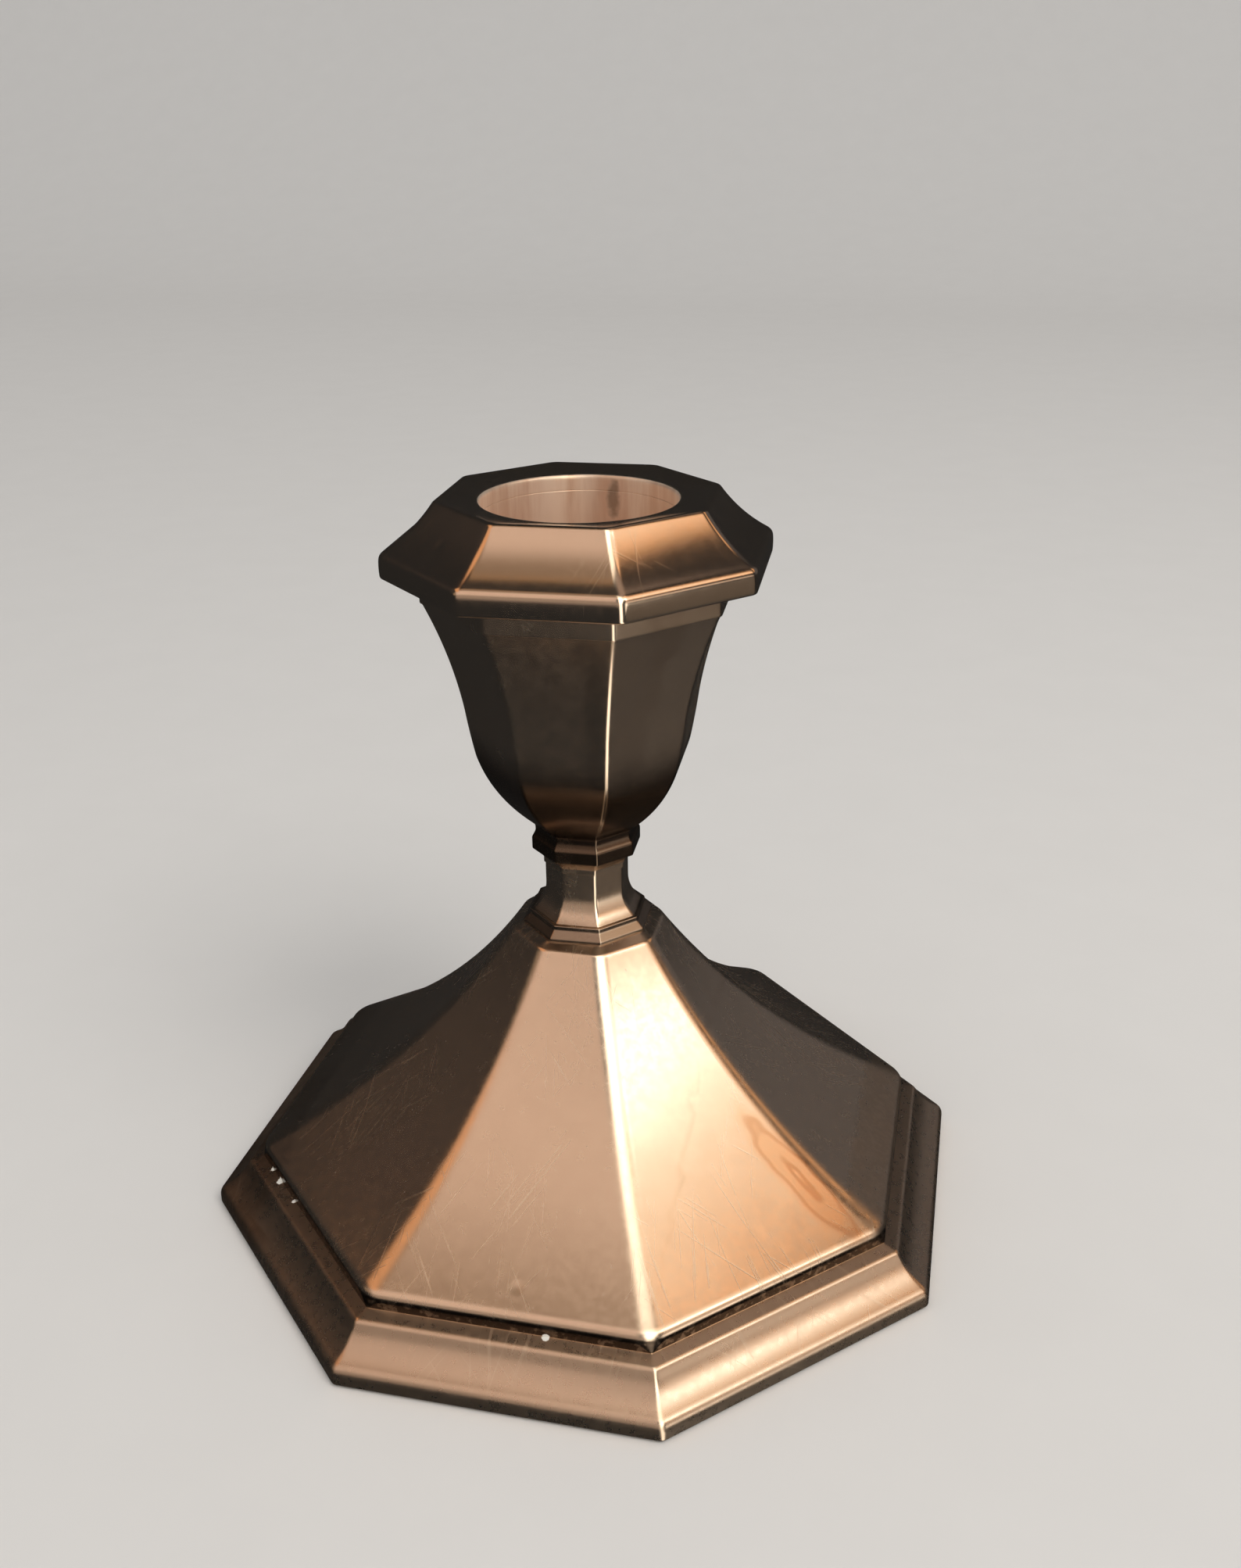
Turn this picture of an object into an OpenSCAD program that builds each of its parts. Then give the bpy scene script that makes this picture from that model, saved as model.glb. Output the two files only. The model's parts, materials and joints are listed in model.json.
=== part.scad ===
// Low octagonal candlestick with a loaded foot and a lift-out nozzle.
// Millimetres, +Z up, origin at the middle of the underside, where it stands on the table.
// Widths of octagonal pieces are across flats, and the flats face X, Y and the diagonals.

/* [Foot] */
// Width of the foot across flats
foot_w = 92.4; // [75:0.2:130]
// Height of the upright edge round the foot
edge_h = 2.15; // [1.9:0.05:5]
// Inward run of the cove above the edge
cove_run = 3.4; // [2.6:0.1:6]
// Height of the cove
cove_h = 2.85; // [2.3:0.05:6]
// Depth of the cove's hollow below a straight slope
cove_sag = 0.55; // [0.2:0.05:0.7]
// Height of the small fillet above the cove
fillet_h = 1.15; // [0.6:0.05:3]
// Inward lean of the fillet
fillet_run = 0.65; // [0.2:0.05:1.2]
// Width of the ledge that the upper wall stands on
ledge_run = 1.7; // [1:0.1:4]
// Rise of the ledge towards the wall
ledge_rise = 0.5; // [0.2:0.05:1]
// Height of the upright wall below the slope
wall_h = 1.95; // [1.2:0.05:5]

/* [Slope] */
// Height of the hollow-sided pyramid
slope_h = 29; // [20:0.5:45]
// Depth of the hollow in each side
slope_sag = 2.7; // [1:0.1:4]
// Width of the pyramid's top edge across flats
slope_top_w = 18.2; // [16.8:0.1:24]
// Rise of the shoulder from the top edge to the collar
shoulder_rise = 0.6; // [0.3:0.05:1.5]

/* [Stem] */
// Angle that the stem and the cup are turned on the foot, in degrees
stem_turn = 2.5; // [-22.5:0.5:22.5]
// Width of the collar's lower bead across flats
collar_bead_w = 15.4; // [14.8:0.1:16.6]
// Width of the collar's upright band across flats
collar_band_w = 13.7; // [13:0.1:14.6]
// Height of the collar's bead
collar_bead_h = 0.4; // [0.2:0.05:1]
// Height of the collar's band, with the hollow below it
collar_band_h = 1.4; // [1:0.05:3]
// Width of the neck where it stands on the collar
neck_foot_w = 12.9; // [11.5:0.1:13.6]
// Width of the neck at its waist
neck_w = 9.8; // [8.8:0.05:11.2]
// Height of the neck's flare up to the waist
neck_flare_h = 3.5; // [2.5:0.1:8]
// Depth of the hollow in the neck's flare
neck_sag = 0.4; // [0.1:0.05:0.4]
// Height of the waist above the flare
waist_h = 2.9; // [1.5:0.1:12]
// Step out from the waist to the cup's foot
neck_step = 0.15; // [0.05:0.05:0.3]
// Width of the cup foot's upright band across flats
cup_foot_w = 12.7; // [11.8:0.1:16]
// Height of the flare under the band
cup_foot_flare_h = 2.0; // [1.4:0.1:4]
// Depth of the hollow in that flare
cup_foot_flare_sag = 0.2; // [0.05:0.05:0.25]
// Height of the upright band
cup_foot_band_h = 1.6; // [1:0.05:4]
// Height of the small cove above the band
cup_foot_cove_h = 1.7; // [0.8:0.1:3]
// Depth of that cove's hollow
cup_foot_cove_sag = 0.25; // [0.1:0.05:0.3]
// Width of the cup where it stands on its foot
cup_seat_w = 12.0; // [11.2:0.1:13]

/* [Candle and socket] */
// Diameter of the candle
candle_d = 22; // [18:0.5:30]
// Gap all round the candle in the nozzle
candle_gap = 0.3; // [0.1:0.05:0.5]
// Depth of the candle hole
candle_depth = 21; // [16:0.5:32]
// Gap all round between the nozzle's tube and the socket
socket_gap = 0.3; // [0.3:0.05:0.6]
// Height left free below the nozzle's tube
under_gap = 0.5; // [0.3:0.1:2]
// Hairline gap where the nozzle sits on the cup
seat_gap = 0.05; // [0.02:0.01:0.1]

/* [Cup] */
// Height of the cup's round-bellied lower part
bowl_h = 12.8; // [10:0.1:20]
// Bulge of the bowl beyond a straight slope
bowl_sag = 1.4; // [0.5:0.1:2]
// Distance of the belly outside the socket tube
belly_out = 0.3; // [0.2:0.05:3]
// Height of the socket's bottom above the belly
belly_drop = 5; // [4.5:0.1:9]
// Width of the flat ring between the socket and the cup's top edge
cup_ring = 4.6; // [3.5:0.1:7]
// Depth of the hollow in the cup's flare
flare_sag = 0.65; // [0.1:0.05:0.7]
// Height of the lip band under the nozzle
lip_h = 3.1; // [1.2:0.1:5]
// How far the lip band stands out from the cup
lip_out = 0.2; // [0.1:0.05:0.8]

/* [Nozzle] */
// Overhang of the nozzle's rim beyond the cup
rim_out = 4.15; // [2:0.05:8]
// Height of the nozzle's upright rim
rim_h = 2.8; // [1.8:0.1:5]
// Height of the sloping top above the rim
bevel_h = 5.8; // [4:0.1:9]
// Depth of the hollow in the sloping top
bevel_sag = 0.35; // [0.05:0.05:0.4]
// Width of the dished ring round the candle hole
dish_w = 4; // [3:0.1:5]
// Depth of the dish
dish_h = 0.65; // [0.2:0.05:0.8]
// Height of the turned-down mouth, to the seam with the tube
mouth_h = 1.9; // [1.4:0.1:4]
// Angle that the nozzle is turned in the socket, in degrees
nozzle_turn = 0; // [-22.5:0.5:22.5]

/* [Metal and filling] */
// Thickness of the struck sheet
sheet_t = 0.8; // [0.6:0.05:0.9]
// Thickness of the upright edge round the foot
edge_t = 1; // [0.8:0.05:1.4]
// Thickness of the drawn tubes and their floors
tube_t = 0.5; // [0.4:0.05:0.6]
// Thickness of the closing plate under the foot
plate_t = 0.6; // [0.5:0.05:0.8]
// Thickness of the felt
felt_t = 1; // [0.8:0.1:1.2]
// How far the felt stands below the metal edge
felt_proud = 0.3; // [0.2:0.05:0.6]
// Margin between the felt and the metal edge
felt_margin = 0.4; // [0.2:0.1:3]
// Diameter of the steel rod in the filling
rod_d = 5; // [3:0.5:6]
// Filling left below the rod and above it
rod_cover = 4; // [2:0.5:8]

/* [Hidden] */

silver = [0.86, 0.70, 0.58];
tinned_steel = [0.62, 0.63, 0.64];
green_felt = [0.10, 0.22, 0.14];
plaster = [0.42, 0.36, 0.30];

$fn = 96;
over = 1;        // how far a cut runs past the face it starts from
edge_flat = 0.1; // flat left on the edge round the dish
bar_reach = 2.4; // length of an octagon's bars over their half width, past its corners
big_arc = 10;    // straight steps in a long curve
small_arc = 5;   // straight steps in a short curve

// Half widths, from the axis to a flat
foot_half = foot_w / 2;
edge_in = foot_half - edge_t;
cove_half = foot_half - cove_run;
fillet_half = cove_half - fillet_run;
wall_half = fillet_half - ledge_run;
wall_in = wall_half - sheet_t;
slope_top_half = slope_top_w / 2;
neck_hole_r = neck_w / 2 - sheet_t;
step_half = neck_w / 2 + neck_step;
hole_r = candle_d / 2 + candle_gap;
tube_r = hole_r + tube_t;
liner_in_r = tube_r + socket_gap;
liner_r = liner_in_r + tube_t;
belly_half = liner_r + belly_out;
cup_top_half = liner_r + cup_ring;
lip_half = cup_top_half + lip_out;
lip_in = lip_half - sheet_t;
rim_half = cup_top_half + rim_out;
rim_in = rim_half - sheet_t;
bevel_top_half = hole_r + dish_w;

// Heights above the table, from the bottom up
z_metal = felt_proud;
z_plate = felt_t;
z_filling = z_plate + plate_t;
z_edge = z_metal + edge_h;
z_cove = z_edge + cove_h;
z_fillet = z_cove + fillet_h;
z_ledge = z_fillet + ledge_rise;
z_wall = z_ledge + wall_h;
z_slope = z_wall + slope_h;
z_shoulder = z_slope + shoulder_rise;
z_bead = z_shoulder + collar_bead_h;
z_collar = z_bead + collar_band_h;
z_waist = z_collar + neck_flare_h;
z_neck = z_waist + waist_h;
z_band = z_neck + cup_foot_flare_h;
z_band_top = z_band + cup_foot_band_h;
z_cup = z_band_top + cup_foot_cove_h;
z_belly = z_cup + bowl_h;
z_liner = z_belly + belly_drop;
z_tube = z_liner + tube_t + under_gap;
z_candle = z_tube + tube_t;
z_mouth = z_candle + candle_depth;
z_top = z_mouth + dish_h;
z_rim_top = z_top - bevel_h;
z_rim = z_rim_top - rim_h;
z_lip_top = z_rim - seat_gap;
z_lip = z_lip_top - lip_h;
z_seam = z_mouth - mouth_h;

// Points along the arc from p to q, whose middle stands sag to the right of the straight
// line between them: a section is drawn upwards, so plus bulges out and minus hollows in.
function arc(p, q, sag, steps) =
    let(
        along = (q - p) / norm(q - p),
        right = [along[1], -along[0]],
        half_chord = norm(q - p) / 2,
        r = (half_chord * half_chord + sag * sag) / (2 * abs(sag)),
        half_angle = 2 * atan(abs(sag) / half_chord)
    )
    [for (i = [0:steps])
        let(a = half_angle * (2 * i / steps - 1))
        (p + q) / 2 + along * r * sin(a) + right * sign(sag) * r * (cos(a) - cos(half_angle))];

// A list without its first point, to join a curve to the point before it
function rest(points) = [for (i = [1:len(points) - 1]) points[i]];

// The outer outlines, each from its lowest point up, as [half width, height]
border_outline = concat(
    [[foot_half, z_metal]],
    arc([foot_half, z_edge], [cove_half, z_cove], -cove_sag, small_arc),
    [[fillet_half, z_fillet], [wall_half, z_ledge]]
);
slope_outline = concat(
    [[wall_half, z_ledge]],
    arc([wall_half, z_wall], [slope_top_half, z_slope], -slope_sag, big_arc),
    [[collar_bead_w / 2, z_shoulder]]
);
collar_outline = [
    [collar_bead_w / 2, z_shoulder], [collar_bead_w / 2, z_bead],
    [collar_band_w / 2, z_bead + (collar_bead_w - collar_band_w) / 2],
    [collar_band_w / 2, z_collar]
];
neck_outline = concat(
    arc([neck_foot_w / 2, z_collar], [neck_w / 2, z_waist], -neck_sag, small_arc),
    [[neck_w / 2, z_neck]]
);
cup_foot_outline = concat(
    [[step_half, z_neck]],
    arc([step_half, z_neck + cup_foot_flare_h / 3], [cup_foot_w / 2, z_band], -cup_foot_flare_sag, small_arc),
    arc([cup_foot_w / 2, z_band_top], [cup_seat_w / 2, z_cup], -cup_foot_cove_sag, small_arc)
);
cup_outline = concat(
    arc([cup_seat_w / 2, z_cup], [belly_half, z_belly], bowl_sag, big_arc),
    rest(arc([belly_half, z_belly], [cup_top_half, z_lip], -flare_sag, big_arc))
);
lip_outline = [[lip_half, z_lip], [lip_half, z_lip_top]];
rim_outline = concat(
    [[rim_half, z_rim]],
    arc([rim_half, z_rim_top], [bevel_top_half, z_top], -bevel_sag, small_arc)
);

// The inside of the foot, from the closing plate up to the underside of the shoulder
slope_run = wall_half - slope_top_half;
cavity_sag = 1.5 * cove_sag; // deeper than the cove, so the wall by the fillet keeps its thickness
slope_foot_angle = atan(slope_h / slope_run) - 2 * atan(2 * slope_sag / norm([slope_h, slope_run]));
foot_cavity = concat(
    arc([edge_in, z_filling], [wall_in, z_ledge], -cavity_sag, small_arc),
    arc(
        [wall_in, z_wall - sheet_t * tan(45 - slope_foot_angle / 2)],
        [slope_top_half - sheet_t, z_slope - sheet_t],
        -slope_sag, big_arc
    )
);

// The inside of the cup, from its seat up to the top of the lip
cup_cavity = concat(
    arc([cup_seat_w / 2 - sheet_t, z_cup], [belly_half - sheet_t, z_belly], bowl_sag, big_arc),
    rest(arc([belly_half - sheet_t, z_belly], [cup_top_half - sheet_t, z_lip], -flare_sag, big_arc)),
    [[lip_in, z_lip], [lip_in, z_lip_top]]
);

// A solid octagon whose half width follows an outline: four long bars with that outline
// for both their edges, an eighth of a turn apart, have only the octagon in common.
module octagonal(outline) {
    last = len(outline) - 1;
    mirrored = [for (i = [last:-1:0]) [-outline[i][0], outline[i][1]]];
    widest = max([for (p = outline) p[0]]);
    intersection_for (k = [0:3])
        rotate([0, 0, 45 * k])
            rotate([90, 0, 0])
                linear_extrude(height = bar_reach * widest, center = true)
                    polygon(concat(outline, mirrored));
}

// The round hole from the foot's cavity to the cup's, running a little into both
module neck_hole() {
    z_low = z_slope - sheet_t - over;
    translate([0, 0, z_low]) cylinder(r = neck_hole_r, h = z_cup + over - z_low);
}

// A piece of the foot, between its own outline and the foot's cavity
module foot_sheet(outline) {
    difference() {
        octagonal(outline);
        octagonal(concat([[edge_in, z_metal - over]], foot_cavity));
        neck_hole();
    }
}

// A piece of the cup, between its own outline and the cup's cavity
module cup_sheet(outline) {
    rotate([0, 0, stem_turn])
    difference() {
        octagonal(outline);
        octagonal(concat(cup_cavity, [[lip_in, z_lip_top + over]]));
    }
}

// A piece of the stem, pierced by the round hole
module stem_piece(outline) {
    rotate([0, 0, stem_turn])
    difference() {
        octagonal(outline);
        neck_hole();
    }
}

// A flat octagonal plate
module octagon_plate(half, z_low, thick) {
    octagonal([[half, z_low], [half, z_low + thick]]);
}

module felt_pad() {
    color(green_felt) octagon_plate(edge_in - felt_margin, 0, felt_t);
}

module base_plate() {
    color(tinned_steel) octagon_plate(edge_in, z_plate, plate_t);
}

module foot_border() {
    color(silver) foot_sheet(border_outline);
}

module foot_shell() {
    color(silver) foot_sheet(slope_outline);
}

module collar_ring() {
    color(silver) stem_piece(collar_outline);
}

module neck() {
    color(silver) stem_piece(neck_outline);
}

module cup_foot() {
    color(silver) stem_piece(cup_foot_outline);
}

module cup_shell() {
    color(silver) cup_sheet(cup_outline);
}

module cup_lip() {
    color(silver) cup_sheet(lip_outline);
}

// Round tube with a floor, and an octagonal flange that closes the top of the cup
module socket_liner() {
    color(silver)
    difference() {
        union() {
            translate([0, 0, z_liner]) cylinder(r = liner_r, h = z_lip_top - z_liner);
            rotate([0, 0, stem_turn]) octagon_plate(lip_in, z_lip_top - tube_t, tube_t);
        }
        translate([0, 0, z_liner + tube_t])
            cylinder(r = liner_in_r, h = z_lip_top - z_liner + over);
    }
}

// Everything inside the shells below the socket, round the rod
module plaster_filling() {
    color(plaster)
    difference() {
        union() {
            octagonal(foot_cavity);
            neck_hole();
            rotate([0, 0, stem_turn]) octagonal(cup_cavity);
        }
        translate([0, 0, z_liner])
            linear_extrude(height = z_top) square(2 * foot_w, center = true);
        rod_space();
    }
}

module rod_space() {
    z_low = z_filling + rod_cover;
    translate([0, 0, z_low]) cylinder(d = rod_d, h = z_liner - rod_cover - z_low);
}

module core_rod() {
    color(tinned_steel) rod_space();
}

// Octagonal drip pan: upright rim, sloping top, dished ring and turned-down mouth
module nozzle_pan() {
    color(silver)
    rotate([0, 0, stem_turn + nozzle_turn])
    difference() {
        octagonal(rim_outline);
        octagonal([
            [hole_r + sheet_t, z_mouth], [bevel_top_half - edge_flat, z_top],
            [bevel_top_half, z_top + over]
        ]);
        difference() {
            octagonal([
                [rim_in, z_rim - over], [rim_in, z_rim_top - sheet_t / 2],
                [bevel_top_half + sheet_t / 2, z_mouth - sheet_t]
            ]);
            translate([0, 0, z_seam]) cylinder(r = hole_r + sheet_t, h = mouth_h + over);
        }
        translate([0, 0, z_rim - over]) cylinder(r = hole_r, h = z_top - z_rim + 2 * over);
    }
}

// Flat plate that closes the pan from below and sits on the cup
module nozzle_plate() {
    color(silver)
    rotate([0, 0, stem_turn + nozzle_turn])
    difference() {
        octagon_plate(rim_in, z_rim, sheet_t);
        translate([0, 0, z_rim - over]) cylinder(r = tube_r, h = sheet_t + 2 * over);
    }
}

module nozzle_tube() {
    color(silver)
    translate([0, 0, z_candle])
    difference() {
        cylinder(r = tube_r, h = z_seam - z_candle);
        translate([0, 0, -over]) cylinder(r = hole_r, h = z_seam - z_candle + 2 * over);
    }
}

// Disc soldered under the tube's lower edge, so the candle hole's wall starts on top of it
module nozzle_floor() {
    color(silver) translate([0, 0, z_tube]) cylinder(r = tube_r, h = tube_t);
}

felt_pad();
base_plate();
foot_border();
foot_shell();
collar_ring();
neck();
cup_foot();
cup_shell();
cup_lip();
socket_liner();
plaster_filling();
core_rod();
nozzle_pan();
nozzle_plate();
nozzle_tube();
nozzle_floor();
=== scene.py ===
# %% [markdown]
# # An octagonal candlestick in struck, warm-toned metal
# This lesson dresses a finished mechanical model. The model is loaded first as a fixed frame:
# it holds the real sizes and it moves, and it is never changed here. Each visible part of it
# is then made again as a finer mesh with soft polished edges, and hidden behind that mesh.

import json
import math

import bmesh
import bpy
from mathutils import Euler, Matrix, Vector


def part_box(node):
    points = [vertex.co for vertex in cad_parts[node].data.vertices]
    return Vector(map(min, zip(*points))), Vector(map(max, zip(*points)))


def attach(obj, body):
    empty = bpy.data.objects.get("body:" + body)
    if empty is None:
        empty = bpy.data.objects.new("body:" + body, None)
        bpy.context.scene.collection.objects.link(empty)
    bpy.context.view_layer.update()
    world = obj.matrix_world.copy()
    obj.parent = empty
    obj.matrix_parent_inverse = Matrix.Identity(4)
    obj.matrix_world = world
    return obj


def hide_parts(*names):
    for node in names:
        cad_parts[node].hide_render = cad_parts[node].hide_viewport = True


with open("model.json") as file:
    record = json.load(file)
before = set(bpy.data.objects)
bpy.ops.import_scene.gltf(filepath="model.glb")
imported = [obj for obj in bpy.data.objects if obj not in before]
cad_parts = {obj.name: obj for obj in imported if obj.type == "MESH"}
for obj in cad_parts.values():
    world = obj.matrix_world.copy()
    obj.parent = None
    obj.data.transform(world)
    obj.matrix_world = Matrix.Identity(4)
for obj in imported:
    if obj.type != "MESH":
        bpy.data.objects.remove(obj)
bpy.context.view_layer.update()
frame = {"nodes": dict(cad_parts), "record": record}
mm = 0.001
print("pieces in the frame:", ", ".join(sorted(frame["nodes"])))

# %% [markdown]
# ## Sizes that come from the frame
# A width across the flats is twice the box's reach along X, because flats face X and Y. The
# stem, the cup and the nozzle were soldered 2.5 degrees off the foot, so their boxes are a
# little wider, and the reach is corrected for that turn.

# %% Read widths and heights
FACETS = 8
HALF_FACET = math.pi / FACETS
STEM_TURN = math.radians(2.5)


def low(node):
    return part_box(node)[0].z / mm


def high(node):
    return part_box(node)[1].z / mm


def reach(node, turn=0.0):
    """Half the width across flats, in mm, of an octagonal node turned by an angle."""
    widened = math.cos(HALF_FACET - turn) / math.cos(HALF_FACET)
    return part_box(node)[1].x / mm / (widened if turn else 1)


foot = reach("foot_border")
wall = reach("foot_shell")
bead = reach("collar_ring", STEM_TURN)
neck_foot = reach("neck", STEM_TURN)
knop = reach("cup_foot", STEM_TURN)
cup_top = reach("cup_shell", STEM_TURN)
lip = reach("cup_lip", STEM_TURN)
rim = reach("nozzle_pan", STEM_TURN)
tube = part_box("nozzle_tube")[1].x / mm
hole = frame["record"]["mounts"][0]["dims"]["r_mm"]
# Three sizes that no box shows: the socket's radius and the thickness of both kinds of sheet.
liner = 12.6
sheet = 0.8
liner_sheet = 0.5
print(f"foot {foot:.2f}, wall {wall:.2f}, cup {cup_top:.2f}, rim {rim:.2f}, candle hole {hole:.2f}")

# %% [markdown]
# ## Drawing a moulding
# A silversmith draws a moulding as a section: corners joined by straights and by arcs. Here
# a section is a list of corners, each with its half width, its height, how far the edge is
# rounded off, how far the stretch that follows bulges (plus) or is hollowed (minus), and how
# round the plan is there. Polished metal has no sharp edge anywhere, so every corner gets a
# small curve, and the mesh is closest where the surface turns.

# %% Turn a list of corners into a fine section
ROUND_STEPS = 6
SHARP_PLAN = 0.3
CIRCLE = 1000.0  # a ridge radius past any half width makes the plan round


def corner(half, z, soft=0.1, sag=0.0, plan=SHARP_PLAN, seam=False):
    return {"at": Vector((half, z)), "soft": soft, "sag": sag, "plan": plan, "seam": seam}


def stretch(a, b, sag, step):
    """Points along a straight or an arc, closer together towards both ends."""
    chord = b - a
    steps = max(4, min(40, round(chord.length / step)))
    across = Vector((chord.y, -chord.x)).normalized()
    out = []
    for i in range(steps + 1):
        t = 0.5 - 0.5 * math.cos(math.pi * i / steps)
        out.append(a + chord * t + across * sag * 4 * t * (1 - t))
    return out


def cut_back(points, length):
    """Shortens a run of points by a length at its start."""
    left = length
    for i in range(len(points) - 1):
        piece = (points[i + 1] - points[i]).length
        if piece > left:
            return [points[i].lerp(points[i + 1], left / piece)] + points[i + 1 :]
        left -= piece
    return points[-1:]


def moulding(corners, step=0.7, closed=True):
    """Dense section as rows of half width, height, plan radius, hollow and arris, in mm."""
    count = len(corners)
    runs = []
    for i in range(count if closed else count - 1):
        a, b = corners[i], corners[(i + 1) % count]
        points = stretch(a["at"], b["at"], a["sag"], step)
        total = sum((q - p).length for p, q in zip(points, points[1:]))
        if (closed or i > 0) and a["soft"] > 0:
            points = cut_back(points, min(a["soft"], 0.45 * total))
        if (closed or i < count - 2) and b["soft"] > 0:
            points = cut_back(points[::-1], min(b["soft"], 0.45 * total))[::-1]
        runs.append(points)
    rows = []
    for i, points in enumerate(runs):
        a, b = corners[i], corners[(i + 1) % count]
        for k, p in enumerate(points):
            t = k / (len(points) - 1)
            rows.append((p, a["plan"] + (b["plan"] - a["plan"]) * t))
        follows = runs[(i + 1) % len(runs)] if closed or i < len(runs) - 1 else None
        if follows and b["soft"] > 0:
            start, end, bend = points[-1], follows[0], b["at"]
            for k in range(1, ROUND_STEPS):
                t = k / ROUND_STEPS
                p = start.lerp(bend, t).lerp(bend.lerp(end, t), t)
                rows.append((p, b["plan"]))
    if closed:
        rows.append(rows[0])
    return [(p.x, p.y, plan, *wear(p, corners, closed)) for p, plan in rows]


def wear(p, corners, closed):
    """How deep in a hollow a point is, and how near a standing edge, each from 0 to 1."""
    hollow = arris = 0.0
    count = len(corners)
    for i, c in enumerate(corners):
        before, after = corners[i - 1]["at"], corners[(i + 1) % count]["at"]
        turn = (c["at"] - before).cross(after - c["at"])
        distance = (p - c["at"]).length
        if c["seam"] or turn < 0:
            hollow = max(hollow, math.exp(-((distance / 0.42) ** 2)))
        elif closed or 0 < i < count - 1:
            arris = max(arris, math.exp(-((distance / 0.4) ** 2)))
    return hollow, arris


square_bar = [corner(0, 0), corner(5, 0), corner(5, 5), corner(0, 5)]
print("a square bar's section has", len(moulding(square_bar)), "points")

# %% [markdown]
# ## One node tree sweeps every moulding round
# All the octagonal pieces follow one rule: a section carried round eight sides, with the
# ridges between the sides softly rounded. A lathe would do that for a round piece, and so a
# Geometry Nodes tree does it here for eight sides. Its mesh input is the section; for each
# point of a grid it finds the row of the section and the place on the rounded octagon. Where
# the ridge radius grows to the half width, the octagon becomes a circle, so one sweep can
# run from an octagonal rim to a round mouth. It also stores how near each point is to a
# ridge, which the finishes use for wear and for a painted highlight along the ridges.


# %% Helpers that make node trees shorter to read
def add(tree, kind, inputs=None, **settings):
    made = tree.nodes.new(kind)
    for name, value in settings.items():
        setattr(made, name, value)
    for key, value in (inputs or {}).items():
        plug(tree, value, made.inputs[key])
    return made


def plug(tree, value, socket):
    if isinstance(value, bpy.types.NodeSocket):
        tree.links.new(value, socket)
    else:
        socket.default_value = value


def calc(tree, operation, *values, clamp=False):
    made = add(tree, "ShaderNodeMath", operation=operation, use_clamp=clamp)
    for socket, value in zip(made.inputs, values):
        plug(tree, value, socket)
    return made.outputs[0]


def plus(tree, a, b, clamp=False):
    return calc(tree, "ADD", a, b, clamp=clamp)


def times(tree, a, b, clamp=False):
    return calc(tree, "MULTIPLY", a, b, clamp=clamp)


def vector(tree, operation, a, b=None):
    made = add(tree, "ShaderNodeVectorMath", {0: a} if b is None else {0: a, 1: b}, operation=operation)
    return made.outputs["Value" if operation in ("LENGTH", "DISTANCE") else "Vector"]


# %% Build the sweep tree
SAME_POINT = 2e-6  # metres


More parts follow.
